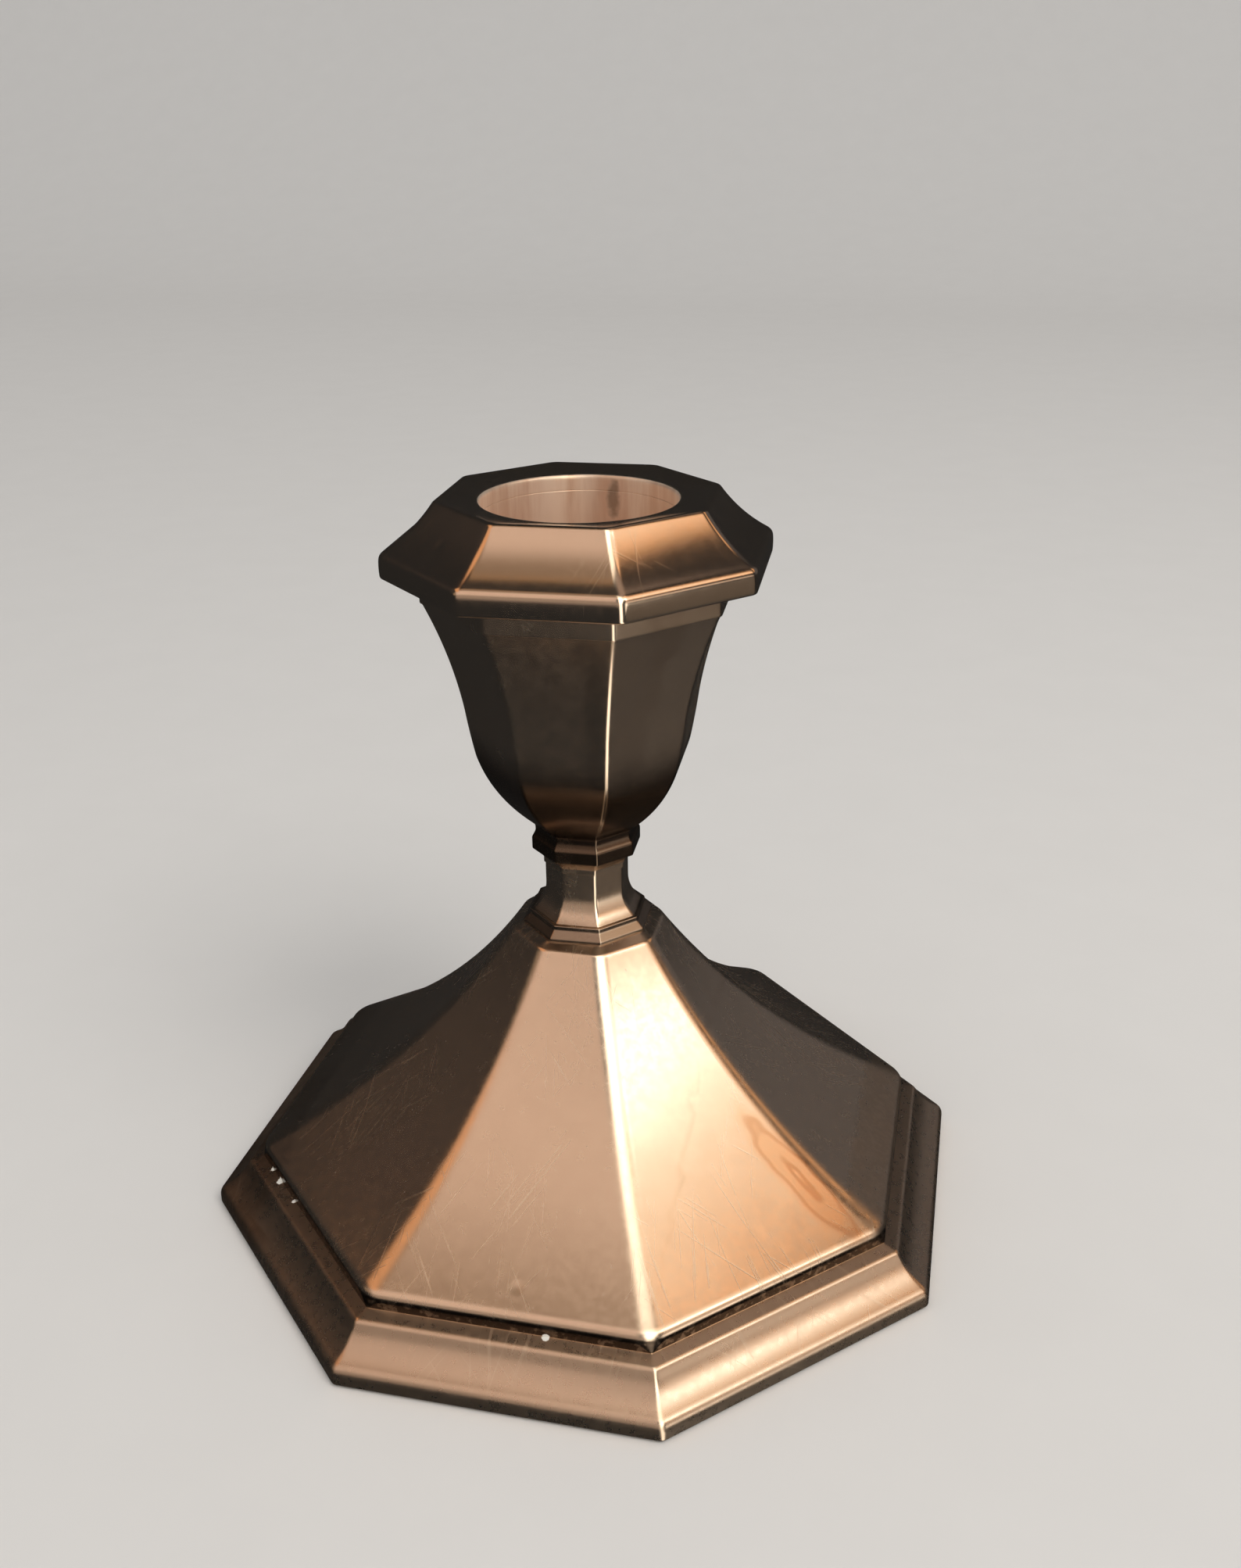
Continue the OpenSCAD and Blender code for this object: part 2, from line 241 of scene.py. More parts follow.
def sweep_tree():
    tree = bpy.data.node_groups.new("facet_sweep", "GeometryNodeTree")
    face = tree.interface
    face.new_socket("Section", in_out="INPUT", socket_type="NodeSocketGeometry")
    sizes = {"Facets": FACETS, "Ridge steps": 8, "Flat steps": 10}
    for name, value in sizes.items():
        face.new_socket(name, in_out="INPUT", socket_type="NodeSocketInt").default_value = value
    for name in ("Turn", "Ridge wear reach"):
        face.new_socket(name, in_out="INPUT", socket_type="NodeSocketFloat")
    face.new_socket("Metal", in_out="INPUT", socket_type="NodeSocketMaterial")
    face.new_socket("Piece", in_out="OUTPUT", socket_type="NodeSocketGeometry")
    given = tree.nodes.new("NodeGroupInput").outputs

    def math_(operation, *values, clamp=False):
        return calc(tree, operation, *values, clamp=clamp)

    side = math_("ADD", given["Ridge steps"], given["Flat steps"])
    around = math_("MULTIPLY", given["Facets"], side)
    counted = add(tree, "GeometryNodeAttributeDomainSize", {"Geometry": given["Section"]})
    rows = counted.outputs["Point Count"]
    grid = add(
        tree,
        "GeometryNodeMeshGrid",
        {"Size X": 1.0, "Size Y": 1.0, "Vertices X": rows, "Vertices Y": math_("ADD", around, 1)},
    ).outputs["Mesh"]
    place = add(tree, "ShaderNodeSeparateXYZ", {0: add(tree, "GeometryNodeInputPosition").outputs[0]})
    row = math_("ROUND", math_("MULTIPLY", math_("ADD", place.outputs[0], 0.5), math_("SUBTRACT", rows, 1)))
    step = math_("ROUND", math_("MULTIPLY", math_("ADD", place.outputs[1], 0.5), around))

    def from_section(kind, value):
        made = add(tree, "GeometryNodeSampleIndex", data_type=kind, domain="POINT")
        plug(tree, given["Section"], made.inputs["Geometry"])
        plug(tree, value, made.inputs["Value"])
        plug(tree, row, made.inputs["Index"])
        return made.outputs["Value"]

    def stored(name):
        named = add(tree, "GeometryNodeInputNamedAttribute", {"Name": name}, data_type="FLOAT")
        return named.outputs["Attribute"]

    spot = from_section("FLOAT_VECTOR", add(tree, "GeometryNodeInputPosition").outputs[0])
    spot = add(tree, "ShaderNodeSeparateXYZ", {0: spot})
    half, height = spot.outputs[0], spot.outputs[2]
    ridge = math_("MINIMUM", from_section("FLOAT", stored("plan")), half)

    beta = math_("DIVIDE", math.pi, given["Facets"])
    facet = math_("FLOOR", math_("DIVIDE", math_("ADD", step, 0.25), side))
    inside = math_("SUBTRACT", step, math_("MULTIPLY", facet, side))
    arc = math_("DIVIDE", math_("MINIMUM", inside, given["Ridge steps"]), given["Ridge steps"])
    past_ridge = math_("MAXIMUM", math_("SUBTRACT", inside, given["Ridge steps"]), 0.0)
    flat = math_("DIVIDE", past_ridge, given["Flat steps"])
    eased = math_("SUBTRACT", 0.5, math_("MULTIPLY", math_("COSINE", math_("MULTIPLY", flat, math.pi)), 0.5))
    facet_start = math_("MULTIPLY", math_("MULTIPLY", facet, 2.0), beta)
    middle = math_("ADD", facet_start, math_("ADD", beta, given["Turn"]))
    swing = math_("MULTIPLY", math_("SUBTRACT", math_("MULTIPLY", arc, 2.0), 1.0), beta)
    heading = math_("ADD", middle, swing)
    core = math_("DIVIDE", math_("SUBTRACT", half, ridge), math_("COSINE", beta))
    run = math_("MULTIPLY", math_("SUBTRACT", half, ridge), math_("TANGENT", beta))
    along = math_("MULTIPLY", math_("MULTIPLY", run, 2.0), eased)

    def coordinate(shape, sign):
        turned = math_(shape, heading)
        on_arc = math_("ADD", math_("MULTIPLY", core, math_(shape, middle)), math_("MULTIPLY", ridge, turned))
        other = math_("SINE" if shape == "COSINE" else "COSINE", heading)
        return math_("ADD", on_arc, math_("MULTIPLY", math_("MULTIPLY", along, sign), other))

    at = add(
        tree,
        "ShaderNodeCombineXYZ",
        {0: coordinate("COSINE", -1.0), 1: coordinate("SINE", 1.0), 2: height},
    ).outputs[0]
    shaped = add(tree, "GeometryNodeSetPosition", {"Geometry": grid, "Position": at}).outputs["Geometry"]
    nearest = math_("MINIMUM", along, math_("SUBTRACT", math_("MULTIPLY", run, 2.0), along))
    share = math_("DIVIDE", nearest, given["Ridge wear reach"])
    ridge_wear_and_highlight = math_("EXPONENT", math_("MULTIPLY", math_("MULTIPLY", share, share), -1.0))
    round_plan = math_("GREATER_THAN", ridge, math_("MULTIPLY", half, 0.9))
    ridge_wear_and_highlight = math_("MULTIPLY", ridge_wear_and_highlight, math_("SUBTRACT", 1.0, round_plan))
    fields = {
        "hollow": from_section("FLOAT", stored("hollow")),
        "arris": from_section("FLOAT", stored("arris")),
        "ridge": ridge_wear_and_highlight,
    }
    for name, value in fields.items():
        shaped = add(
            tree,
            "GeometryNodeStoreNamedAttribute",
            {"Geometry": shaped, "Name": name, "Value": value},
            data_type="FLOAT",
            domain="POINT",
        ).outputs["Geometry"]
    finishing = (
        ("GeometryNodeMergeByDistance", {"Distance": SAME_POINT}),
        ("GeometryNodeSetShadeSmooth", {}),
        ("GeometryNodeRealizeInstances", {}),
        ("GeometryNodeSetMaterial", {"Material": given["Metal"]}),
    )
    for kind, inputs in finishing:
        shaped = add(tree, kind, {"Geometry": shaped, **inputs}).outputs["Geometry"]
    tree.links.new(shaped, tree.nodes.new("NodeGroupOutput").inputs["Piece"])
    return tree


facet_sweep = sweep_tree()
print("the sweep tree has", len(facet_sweep.nodes), "nodes")

# %% [markdown]
# ## From a section to a plain, closed mesh
# The modifier's inputs are set by the identifiers of their sockets. The evaluated result is
# then copied into a plain mesh and the modifier's object is thrown away, so that a finished
# piece holds nothing but its mesh. Its normals are made to point outwards, because a sweep
# does not know which side of a section is metal.


# %% Sweep one piece
def sweep(name, rows, metal, turn=0.0, ridge_steps=8, flat_steps=10, ridge_reach=0.9):
    line = bpy.data.meshes.new(name + "_section")
    points = [(x * mm, 0, z * mm) for x, z, *_ in rows]
    line.from_pydata(points, [(i, i + 1) for i in range(len(points) - 1)], [])
    for slot, key in ((2, "plan"), (3, "hollow"), (4, "arris")):
        values = [r[slot] * (mm if key == "plan" else 1) for r in rows]
        line.attributes.new(key, "FLOAT", "POINT").data.foreach_set("value", values)
    worker = bpy.data.objects.new(name + "_worker", line)
    bpy.context.scene.collection.objects.link(worker)
    modifier = worker.modifiers.new("sweep", "NODES")
    modifier.node_group = facet_sweep
    wanted = {
        "Facets": FACETS,
        "Ridge steps": ridge_steps,
        "Flat steps": flat_steps,
        "Turn": turn,
        "Ridge wear reach": ridge_reach * mm,
        "Metal": metal,
    }
    for item in facet_sweep.interface.items_tree:
        if item.name in wanted:
            modifier[item.identifier] = wanted[item.name]
    evaluated = worker.evaluated_get(bpy.context.evaluated_depsgraph_get())
    plain = bpy.data.meshes.new_from_object(evaluated)
    bpy.data.objects.remove(worker)
    close_and_face_out(plain)
    piece = bpy.data.objects.new(name, plain)
    plain.name = name
    bpy.context.scene.collection.objects.link(piece)
    print(f"{name}: {len(plain.polygons)} faces, {edges_left_open(plain)} open edges")
    return piece


def close_and_face_out(mesh):
    work = bmesh.new()
    work.from_mesh(mesh)
    bmesh.ops.remove_doubles(work, verts=work.verts, dist=SAME_POINT)
    bmesh.ops.recalc_face_normals(work, faces=work.faces)
    work.to_mesh(mesh)
    work.free()


def edges_left_open(mesh):
    uses = {}
    for face in mesh.polygons:
        for key in face.edge_keys:
            uses[key] = uses.get(key, 0) + 1
    return sum(1 for n in uses.values() if n != 2)


# %% [markdown]
# ## The polished metal
# Old polished metal is a mirror that has lost its sharpness. What shows is a thin haze from
# polishing cloths, a few long scratches, cloudy patches of tarnish, dark dirt where the
# cloth does not reach, and clean lines along the edges, where it always does. The edges
# and the scratches are also painted lighter than the metal: a painted highlight along the
# edges and a painted glint on the scratches. Each of these is a mask here, made from noise
# in the object's own coordinates and from the hollow, arris and ridge values that the sweep
# stored on the mesh.


# %% Masks that the finishes share
def ramp(tree, value, start, end, low_value=0.0, high_value=1.0, smooth=True):
    made = add(tree, "ShaderNodeMapRange", {0: value, 1: start, 2: end, 3: low_value, 4: high_value})
    made.interpolation_type = "SMOOTHSTEP" if smooth else "LINEAR"
    return made.outputs[0]


def noise(tree, place, scale, detail=4.0, rough=0.55, warp=0.0, stretch_by=None, turned=(0, 0, 0)):
    if stretch_by:
        # A texture mapping turns first and stretches second, so streaks can run at any angle.
        inputs = {"Vector": place, "Rotation": turned, "Scale": tuple(1 / v for v in stretch_by)}
        place = add(tree, "ShaderNodeMapping", inputs, vector_type="TEXTURE").outputs[0]
    made = add(
        tree,
        "ShaderNodeTexNoise",
        {"Vector": place, "Scale": scale, "Detail": detail, "Roughness": rough, "Distortion": warp},
    )
    return made.outputs["Fac"]


def mix(tree, share, a, b):
    made = add(tree, "ShaderNodeMix", data_type="RGBA")
    plug(tree, share, made.inputs[0])
    plug(tree, a, made.inputs[6])
    plug(tree, b, made.inputs[7])
    return made.outputs[2]


def rest_of(tree, share):
    return calc(tree, "SUBTRACT", 1.0, share)


def attribute(tree, name):
    return add(tree, "ShaderNodeAttribute", attribute_name=name).outputs["Fac"]


FACET_STEP = 0.37  # keeps the noise of one facet far from the next one's
# Each family of scratches: its lean in radians, and its length and width in mm.
SCRATCHES = ((1.3, 15, 0.26), (0.8, 9, 0.24), (-0.7, 10, 0.24), (1.75, 12, 0.25))


def unrolled(tree, place, turn):
    """Flat coordinates on the facet under a point: across it, up it, and a step for each facet."""
    part = add(tree, "ShaderNodeSeparateXYZ", {0: place}).outputs
    heading = calc(tree, "SUBTRACT", calc(tree, "ARCTAN2", part[1], part[0]), turn)
    facet = calc(tree, "ROUND", calc(tree, "DIVIDE", heading, 2 * HALF_FACET))
    middle = plus(tree, times(tree, facet, 2 * HALF_FACET), turn)
    left = times(tree, part[1], calc(tree, "COSINE", middle))
    across = calc(tree, "SUBTRACT", left, times(tree, part[0], calc(tree, "SINE", middle)))
    step = times(tree, calc(tree, "FLOORED_MODULO", facet, float(FACETS)), FACET_STEP)
    return add(tree, "ShaderNodeCombineXYZ", {0: across, 1: part[2], 2: step}).outputs[0]


def hairlines(tree, place, seed, turn):
    """Long fine scratches, slightly curved, that lie in the plane of each facet: 1 on a scratch."""
    flat = unrolled(tree, place, turn)
    wander = add(tree, "ShaderNodeTexNoise", {"Vector": flat, "Scale": 30.0, "Detail": 1.0}).outputs["Color"]
    bent = add(tree, "ShaderNodeVectorMath", {0: wander}, operation="SCALE")
    bent.inputs[3].default_value = 0.004
    curved = vector(tree, "ADD", flat, bent.outputs[0])
    total = None
    for lean, long, wide in SCRATCHES:
        stretch_by = (1 / (long * mm), 1 / (wide * mm), 60.0)
        turned = (0, 0, lean + 0.3 * seed)
        lines = noise(tree, curved, 1.0, 1.0, rough=0.4, stretch_by=stretch_by, turned=turned)
        mark = ramp(tree, lines, 0.69, 0.735, smooth=False)
        total = mark if total is None else calc(tree, "MAXIMUM", total, mark)
    return total


# %% The metal's finish
WARM_TONE = (0.93, 0.77, 0.62)
BROWN_FILM = (0.60, 0.44, 0.32)
DULL_TONE = (0.62, 0.46, 0.35)
DULL_FILM = (0.40, 0.29, 0.21)
TUBE_TONE = (0.95, 0.82, 0.70)
TUBE_FILM = (0.60, 0.46, 0.34)
# Edges are rubbed clean of film; this tone, lighter than clean metal, is a painted highlight along edges and
# ridges.
EDGE_WEAR_AND_HIGHLIGHT_TONE = (1.0, 0.88, 0.74, 1)
# Real scratches with a painted glint: their lighter tone stands in for light caught by them.
SCRATCH_AND_GLINT_TONE = (1.0, 0.93, 0.82, 1)
SCRAPED_DARK, SCRAPED_LIGHT = (0.80, 0.58, 0.43, 1), (1.0, 0.84, 0.69, 1)
DRIP_TONE = (0.28, 0.20, 0.14, 1)
# A near-black tone, painted over the short wall above the foot's ledge.
DARK_WALL_BAND = (0.06, 0.045, 0.035, 1)
# Painted reflection: nested orange tongues on the right front facet of the foot.
PAINTED_REFLECTION_TONE, PAINTED_REFLECTION_RING_TONE = (0.92, 0.60, 0.36, 1), (0.60, 0.30, 0.14, 1)
# Painted shade, under the cup's belly and round the collar.
BELLY_PAINTED_SHADE = (0.17, 0.13, 0.10, 1)
# White of dry polish, and of one painted glint on the front facet.
POLISH_WHITE_AND_GLINT = (0.82, 0.80, 0.74, 1)


def start_material(name):
    material = bpy.data.materials.new(name)
    material.use_nodes = True
    tree = material.node_tree
    tree.nodes.clear()
    shader = add(tree, "ShaderNodeBsdfPrincipled")
    out = add(tree, "ShaderNodeOutputMaterial")
    tree.links.new(shader.outputs[0], out.inputs[0])
    place = add(tree, "ShaderNodeTexCoord").outputs["Object"]
    return material, tree, shader, place


def join(tree, shader, colour, rough, height, depth, strength):
    bump = add(tree, "ShaderNodeBump", {"Height": height, "Distance": depth, "Strength": strength})
    for name, value in (("Base Color", colour), ("Roughness", rough), ("Normal", bump.outputs[0])):
        plug(tree, value, shader.inputs[name])


def aged_metal(
    name, clean, tarnish, gloss, dull, seed, turn=0.0,
    cloudy=0.6, dirt=1.0, scratch=1.0, inside=None, extras=None,
):
    """Polished metal: gloss and dull are its roughness where it is clean and where it is filmed."""
    material, tree, shader, place = start_material(name)
    shifted = vector(tree, "ADD", place, (seed, 2 * seed, 3 * seed))
    cloud = noise(tree, shifted, 48.0, detail=7.0, rough=0.66, warp=0.8)
    mottle = noise(tree, shifted, 260.0, detail=5.0, rough=0.65, warp=0.4)
    haze = noise(tree, shifted, 900.0, detail=3.0, rough=0.6)
    lines = hairlines(tree, place, seed, turn)
    marks = times(tree, lines, ramp(tree, noise(tree, shifted, 55.0, detail=2.0), 0.46, 0.60))
    hollow = attribute(tree, "hollow")
    edge = calc(tree, "MAXIMUM", attribute(tree, "arris"), attribute(tree, "ridge"))
    patchy = ramp(tree, noise(tree, shifted, 950.0, detail=5.0, rough=0.7), 0.34, 0.62, 0.5, 1.0)
    grime = times(tree, times(tree, hollow, patchy), dirt, clamp=True)
    film = times(tree, ramp(tree, cloud, 0.40, 0.66), ramp(tree, mottle, 0.30, 0.62, 0.45, 1.0))
    film = times(tree, film, rest_of(tree, times(tree, edge, 0.8)), clamp=True)
    colour = mix(tree, times(tree, film, cloudy), (*clean, 1), (*tarnish, 1))
    # Scratches go towards a lighter tone: a painted glint on real scratches.
    colour = mix(tree, times(tree, marks, 0.55 * scratch), colour, SCRATCH_AND_GLINT_TONE)
    grain = ramp(tree, noise(tree, shifted, 330.0, detail=6.0, rough=0.72, warp=0.3), 0.34, 0.66, 0.72, 1.0)
    colour = mix(tree, times(tree, rest_of(tree, grain), cloudy), colour, (*tarnish, 1))
    # Edges and ridges go towards a lighter tone: a painted highlight on rubbed metal.
    colour = mix(tree, times(tree, edge, 0.55), colour, EDGE_WEAR_AND_HIGHLIGHT_TONE)
    grime_tone = (*(0.14 * c for c in tarnish), 1)
    colour = mix(tree, times(tree, grime, 0.8), colour, grime_tone)
    rough = ramp(tree, haze, 0.3, 0.7, gloss, gloss + 0.3 * (dull - gloss))
    rough = plus(tree, rough, times(tree, film, 0.45 * (dull - gloss)))
    rough = plus(tree, rough, times(tree, grime, 0.3))
    rough = plus(tree, rough, times(tree, edge, 0.10))
    rough = plus(tree, rough, times(tree, marks, 0.16 * scratch), clamp=True)
    metallic = 1.0
    height = times(tree, noise(tree, shifted, 85.0, detail=1.5, rough=0.4), 1.3)
    height = plus(tree, height, times(tree, marks, -0.09 * scratch))
    height = plus(tree, height, times(tree, grime, 0.05))
    height = plus(tree, height, times(tree, haze, 0.02))
    if inside:
        colour, rough, metallic, height = worn_inside(tree, place, inside, colour, rough, height)
    if extras:
        colour, rough, metallic, height = extras(tree, place, colour, rough, metallic, height)
    plug(tree, metallic, shader.inputs["Metallic"])
    join(tree, shader, colour, rough, height, 0.0001, 0.4)
    print(f"{name}: {len(tree.nodes)} nodes")
    return material


def worn_inside(tree, place, radius, colour, rough, height):
    """Inside a radius from the axis the metal is scraped bright and satin by candle ends."""
    level = vector(tree, "MULTIPLY", place, (1, 1, 0))
    away = vector(tree, "LENGTH", level)
    share = ramp(tree, away, radius + 0.35 * mm, radius + 0.1 * mm)
    draw_marks = noise(tree, place, 1.0, detail=5.0, rough=0.62, stretch_by=(240, 240, 26))
    drip = (radius * math.cos(1.45), radius * math.sin(1.45), high("nozzle_pan") * mm - 3.4 * mm)
    offset = vector(tree, "SUBTRACT", place, drip)
    offset = vector(tree, "MULTIPLY", offset, (1, 1, 0.32))
    away_drip = vector(tree, "LENGTH", offset)
    ragged = times(tree, noise(tree, place, 700.0, detail=3.0), 1.0 * mm)
    stain = ramp(tree, plus(tree, away_drip, ragged), 1.5 * mm, 0.9 * mm)
    bright = mix(tree, ramp(tree, draw_marks, 0.35, 0.65), SCRAPED_DARK, SCRAPED_LIGHT)
    bright = mix(tree, times(tree, stain, 0.75), bright, DRIP_TONE)
    colour = mix(tree, share, colour, bright)
    satin = ramp(tree, draw_marks, 0.3, 0.7, 0.30, 0.44)
    rough = times(tree, rough, rest_of(tree, share))
    rough = plus(tree, rough, times(tree, satin, share))
    scraped = times(tree, draw_marks, share)
    height = plus(tree, height, times(tree, scraped, 0.25))
    metallic = ramp(tree, share, 0.0, 1.0, 1.0, 0.6, smooth=False)
    return colour, rough, metallic, height


def on_facet(half, facet, across, z, turn=0.0):
    """A point on a facet's face: facet 0 faces +X, and across runs anticlockwise from its middle."""
    a = facet * 2 * HALF_FACET + turn
    x = half * math.cos(a) - across * math.sin(a)
    y = half * math.sin(a) + across * math.cos(a)
    return (x * mm, y * mm, z * mm)


LEFT_FRONT, FRONT, RIGHT_FRONT = 5, 6, 7
# Knocks: half width, facet, place across it, height and radius. Crumbs: facet, place and size; the first, on
# the front facet, is a painted glint, the others are dry polish.
KNOCKS = ((37.5, FRONT, 0.5, 10.6, 1.1), (20.5, RIGHT_FRONT, 7.0, 21.0, 1.0), (27.0, FRONT, -9.5, 16.2, 0.8))
CRUMBS_AND_GLINT = ((FRONT, 4.6, 0.50), (LEFT_FRONT, -13.2, 0.34), (LEFT_FRONT, -10.4, 0.56), (LEFT_FRONT, -5.6, 0.34))


def foot_history_and_painted_light(tree, place, colour, rough, metallic, height):
    """Three old knocks, a painted reflection in orange rings, a near-black band painted on the wall above the
    ledge, and white specks: crumbs of dry polish and one painted glint.
    """
    for half, facet, across, z, radius in KNOCKS:
        away = vector(tree, "DISTANCE", place, on_facet(half, facet, across, z))
        dip = ramp(tree, away, radius * mm, 0.0, 0.0, -1.0)
        height = plus(tree, height, times(tree, dip, 0.9))
    # A painted reflection: nested orange rings, stretched into tongues, on the right front facet.
    flat = unrolled(tree, place, 0.0)
    centre = (9.9 * mm, 14.4 * mm, RIGHT_FRONT * FACET_STEP)
    offset = vector(tree, "SUBTRACT", flat, centre)
    inputs = {"Vector": offset, "Rotation": (0, 0, -1.02), "Scale": (2.6, 0.8, 0.02)}
    tongue = add(tree, "ShaderNodeMapping", inputs, vector_type="TEXTURE")
    away = vector(tree, "LENGTH", tongue.outputs[0])
    wobble = times(tree, noise(tree, place, 130.0, detail=2.0), 3.4 * mm)
    away = plus(tree, away, wobble)
    z = add(tree, "ShaderNodeSeparateXYZ", {0: place}).outputs[2]
    start, end = high("foot_border") * mm, high("foot_border") * mm + 1.95 * mm
    band = ramp(tree, z, start, start + 0.12 * mm)
    band = times(tree, band, ramp(tree, z, end - 0.25 * mm, end - 0.6 * mm))
    uneven = ramp(tree, noise(tree, place, 1100.0, detail=4.0), 0.36, 0.5, 0.75, 0.97)
    band = times(tree, band, uneven)
    # The short wall above the ledge is painted near black, unevenly.
    colour = mix(tree, band, colour, DARK_WALL_BAND)
    near = ramp(tree, away, 5.0 * mm, 3.2 * mm)
    rings = calc(tree, "PINGPONG", calc(tree, "DIVIDE", away, 1.5 * mm), 0.5)
    rings = times(tree, ramp(tree, rings, 0.22, 0.46), near)
    colour = mix(tree, times(tree, near, 0.6), colour, PAINTED_REFLECTION_TONE)
    colour = mix(tree, times(tree, rings, 0.5), colour, PAINTED_REFLECTION_RING_TONE)
    ragged = times(tree, noise(tree, place, 2200.0, detail=3.0), 0.5 * mm)
    # White specks: dry polish on the left front facet, and a painted glint on the front facet.
    for facet, across, size in CRUMBS_AND_GLINT:
        away = vector(tree, "DISTANCE", place, on_facet(wall + 0.1, facet, across, high("foot_border")))
        white_speck = ramp(tree, plus(tree, away, ragged), (size + 0.25) * mm, (size + 0.12) * mm)
        metallic = calc(tree, "SUBTRACT", metallic, white_speck, clamp=True)
        colour = mix(tree, white_speck, colour, POLISH_WHITE_AND_GLINT)
        rough = plus(tree, rough, times(tree, white_speck, 0.6), clamp=True)
    return colour, rough, metallic, height


def stem_painted_shade(tree, place, colour, rough, metallic, height):
    """Painted shade: the metal is darkened under the belly and round the collar."""
    z = add(tree, "ShaderNodeSeparateXYZ", {0: place}).outputs[2]
    z = plus(tree, z, times(tree, noise(tree, place, 120.0, detail=3.0), 3 * mm))
    under = ramp(tree, z, (low("cup_shell") + 16) * mm, (low("cup_shell") + 9) * mm)
    above_knop = ramp(tree, z, (low("cup_foot") + 2) * mm, (low("cup_foot") + 4) * mm)
    under = times(tree, under, above_knop)
    collar = ramp(tree, z, (high("collar_ring") + 3) * mm, (high("collar_ring") + 1) * mm, 0.0, 0.7)
    # Painted shade under the belly and round the collar.
    colour = mix(tree, calc(tree, "MAXIMUM", under, collar), colour, BELLY_PAINTED_SHADE)
    return colour, rough, metallic, height


def pan_history(tree, place, colour, rough, metallic, height):
    """One round dent in the sloping top."""
    dent = on_facet(18.6, LEFT_FRONT, 0.0, high("nozzle_pan") - 3.0, STEM_TURN)
    dip = ramp(tree, vector(tree, "DISTANCE", place, dent), 1.3 * mm, 0.0, 0.0, -1.0)
    height = plus(tree, height, times(tree, dip, 1.6))
    return colour, rough, metallic, height


foot_metal = aged_metal(
    "foot_metal", WARM_TONE, BROWN_FILM, 0.11, 0.30, 0.11,
    cloudy=0.8, dirt=0.8, scratch=0.7, extras=foot_history_and_painted_light,
)
border_metal = aged_metal(
    "border_metal", DULL_TONE, DULL_FILM, 0.15, 0.34, 0.23, dirt=0.8, scratch=0.5, extras=foot_history_and_painted_light
)
stem_metal = aged_metal(
    "stem_metal", WARM_TONE, BROWN_FILM, 0.12, 0.24, 0.37, STEM_TURN,
    cloudy=0.22, scratch=0.12, extras=stem_painted_shade,
)
nozzle_metal = aged_metal(
    "nozzle_metal", WARM_TONE, BROWN_FILM, 0.05, 0.13, 0.71, STEM_TURN,
    cloudy=0.35, scratch=0.35, inside=hole * mm, extras=pan_history,
)
tube_metal = aged_metal(
    "tube_metal", TUBE_TONE, TUBE_FILM, 0.24, 0.46, 0.53, scratch=1.3, inside=hole * mm
)

# %% [markdown]
# ## The foot
# The foot was struck in one piece from thin sheet and its stepped border follows the
# classic order: an upright edge, a hollow cove, a small sloping fillet and a ledge. Above
# the ledge a short wall turns into eight hollow-sided slopes. Both are drawn as closed
# sections with the real sheet thickness, so that the underside is right as well.

# %% Sweep the border and the slopes
z_edge = low("foot_border") + 2.15
z_cove = z_edge + 2.85
z_fillet = z_cove + 1.15
z_ledge = high("foot_border")
cove = foot - 3.4
fillet = cove - 0.65
filling_low = high("base_plate")
edge_in = foot - 1.0
border = sweep(
    "foot_border_metal",
    moulding(
        [
            corner(foot, low("foot_border"), 0.3, plan=1.0),
            corner(foot, z_edge, 0.95, sag=-0.3, plan=1.3),
            corner(cove, z_cove, 0.3, plan=0.8),
            corner(fillet, z_fillet, 0.4, plan=0.8),
            corner(wall, z_ledge, 0.1, plan=0.6, seam=True),
            corner(wall - sheet, z_ledge, 0.1, sag=0.8),
            corner(edge_in, filling_low, 0.1),
            corner(edge_in, low("foot_border"), 0.2),
        ],
        step=0.35,
    ),
    border_metal,
    flat_steps=14,
)
z_wall = z_ledge + 1.95
shoulder_z = high("foot_shell")
z_slope = shoulder_z - 0.6
slope_top = 9.1
neck_hole = 4.1
slopes = sweep(
    "foot_slopes_metal",
    moulding(
        [
            corner(wall, z_ledge, 0.05, plan=0.4, seam=True),
            corner(wall, z_wall, 0.9, sag=-2.7, plan=4.2),
            corner(slope_top, z_slope, 0.3, plan=3.0),
            corner(bead, shoulder_z, 0.05, plan=1.0, seam=True),
            corner(neck_hole, shoulder_z, 0.05, plan=neck_hole),
            corner(neck_hole, z_slope - sheet, 0.05, plan=neck_hole),
            corner(slope_top - sheet, z_slope - sheet, 0.1, sag=2.7, plan=0.5),
            corner(wall - sheet, z_wall - 0.6, 0.1),
            corner(wall - sheet, z_ledge, 0.05),
        ],
        step=0.8,
    ),
    foot_metal,
    ridge_steps=10,
    flat_steps=18,
    ridge_reach=1.4,
)

# %% [markdown]
# ## The stem and the cup
# A small bead and band cover the joint where the stem stands on the foot. The neck flares
# at both ends, a little knop carries the cup, and the cup swells into a belly before it
# flares out to an upright lip. They were soldered up as one stem, slightly turned on the
# foot, and every joint between them is a fine line that holds dirt.

